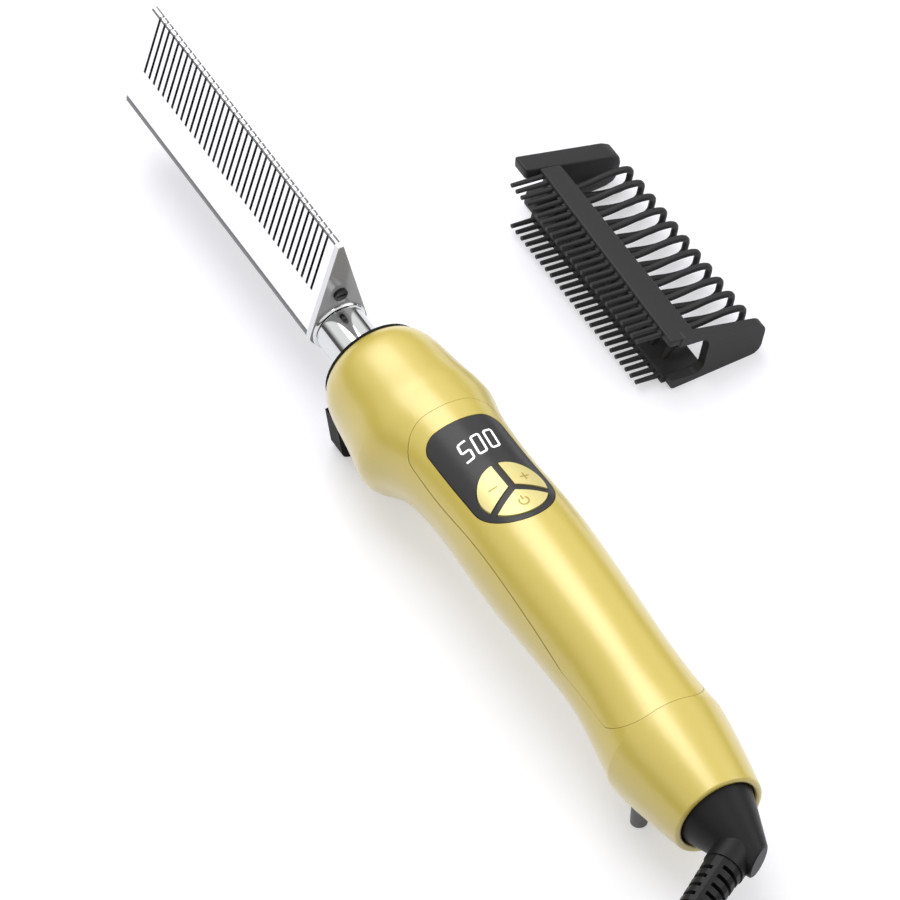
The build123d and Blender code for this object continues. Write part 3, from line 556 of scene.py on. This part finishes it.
# ## Pieces inside the housing
# Heater, board, wires, contacts and screws, each in the finish of its own stuff.
zinc_steel = finish_material("zinc_steel", (0.6, 0.6, 0.62), metallic=1.0, roughness=0.3,
                             grain=1500, bump=0.1)
for node in ("clamp_screws", "housing_screws", "board_screws", "swivel_clip", "temperature_probe"):
    dress(node, zinc_steel)
white_ceramic = finish_material("white_ceramic", (0.8, 0.79, 0.76), roughness=0.5, grain=2500,
                                bump=0.1)
dress("heater_core", white_ceramic)
board_green = finish_material("board_green", (0.02, 0.14, 0.05), roughness=0.3, grain=900,
                              bump=0.1, shade=0.2)
dress("control_board", board_green)
cream_plastic = finish_material("cream_plastic", (0.55, 0.53, 0.46), roughness=0.45, grain=2000,
                                bump=0.1)
for node in ("neck_clamp", "button_switches", "swivel_bush", "contact_block"):
    dress(node, cream_plastic)
wire_skin = finish_material("wire_skin", (0.62, 0.60, 0.55), roughness=0.55, grain=3200, bump=0.2)
for node in ("heater_wires", "supply_wires"):
    dress(node, wire_skin)
dark_part = finish_material("dark_part", (0.03, 0.03, 0.035), roughness=0.35, grain=1500, bump=0.1)
for node in ("display_module", "power_triac", "filter_capacitor"):
    dress(node, dark_part)

# ## Floor and light
# Pale table top that a camera and a reflection see as white. A broad lamp beyond the comb end, a
# small one high over the comb and a weak one on the far side light it. Reflections see a
# surround that is bright overhead and dark at the horizon.
table_half = 4.0
table_glow = 0.46
table_top = bpy.data.meshes.new("table_top")
sheet = bmesh.new()
bmesh.ops.create_grid(sheet, x_segments=1, y_segments=1, size=table_half)
sheet.to_mesh(table_top)
sheet.free()
floor = bpy.data.objects.new("floor", table_top)
scene.collection.objects.link(floor)
pale_top = finish_material("pale_top", (0.58, 0.58, 0.63), roughness=0.35, grain=60, bump=0.0,
                           shade=0.0)


def seen_share(tree, low, high):
    """Low for light on the object, high for what a camera, a mirror or glass sees."""
    path = tree.nodes.new("ShaderNodeLightPath")
    either = tree.nodes.new("ShaderNodeMath")
    either.operation = "MAXIMUM"
    tree.links.new(path.outputs["Is Camera Ray"], either.inputs[0])
    tree.links.new(path.outputs["Is Glossy Ray"], either.inputs[1])
    any_ray = tree.nodes.new("ShaderNodeMath")
    any_ray.operation = "MAXIMUM"
    tree.links.new(either.outputs[0], any_ray.inputs[0])
    tree.links.new(path.outputs["Is Transmission Ray"], any_ray.inputs[1])
    share = tree.nodes.new("ShaderNodeMapRange")
    share.inputs["To Min"].default_value = low
    share.inputs["To Max"].default_value = high
    tree.links.new(any_ray.outputs[0], share.inputs["Value"])
    return share.outputs["Result"]


floor_surface = pale_top.node_tree.nodes["Principled BSDF"]
floor_surface.inputs["Emission Color"].default_value = (1, 1, 1, 1)
pale_top.node_tree.links.new(seen_share(pale_top.node_tree, 0.0, table_glow),
                             floor_surface.inputs["Emission Strength"])
table_top.materials.append(pale_top)

world = bpy.data.worlds.new("surround")
world.use_nodes = True
scene.world = world
sky = world.node_tree
light_strength, seen_strength = 0.55, 1.0
sky.links.new(seen_share(sky, light_strength, seen_strength),
              sky.nodes["Background"].inputs["Strength"])
sky_way = sky.nodes.new("ShaderNodeTexCoord")
sky_apart = sky.nodes.new("ShaderNodeSeparateXYZ")
sky.links.new(sky_way.outputs["Generated"], sky_apart.inputs["Vector"])
sky_band = sky.nodes.new("ShaderNodeValToRGB")
sky_band.color_ramp.elements[0].position = 0.18
sky_band.color_ramp.elements[0].color = (0.10, 0.10, 0.10, 1)
sky_band.color_ramp.elements[1].position = 0.42
sky_band.color_ramp.elements[1].color = (1, 1, 1, 1)
sky.links.new(sky_apart.outputs["Z"], sky_band.inputs["Fac"])
sky_tone = sky.nodes.new("ShaderNodeMix")
sky_tone.data_type = "RGBA"
sky_tone.inputs["A"].default_value = (1, 1, 1, 1)
sky_path = sky.nodes.new("ShaderNodeLightPath")
sky.links.new(sky_path.outputs["Is Glossy Ray"], sky_tone.inputs["Factor"])
sky.links.new(sky_band.outputs["Color"], sky_tone.inputs["B"])
sky.links.new(sky_tone.outputs["Result"], sky.nodes["Background"].inputs["Color"])


def soft_lamp(name, place, aim, size, power):
    """Square soft lamp at place, turned to aim."""
    lamp = bpy.data.lights.new(name, "AREA")
    lamp.size = size
    lamp.energy = power
    holder = bpy.data.objects.new(name, lamp)
    scene.collection.objects.link(holder)
    holder.location = place
    holder.rotation_mode = "QUATERNION"
    holder.rotation_quaternion = (Vector(aim) - Vector(place)).to_track_quat("-Z", "Y")


soft_lamp("key_lamp", (-0.77, 0.0, 1.2), (0.06, 0, 0), 1.0, 8.5)
soft_lamp("tail_lamp", (-0.14, -0.02, 1.4), (0.1, 0, 0), 0.6, 3.5)
soft_lamp("fill_lamp", (0.5, 1.1, 0.8), (0.06, 0, 0), 0.9, 4)
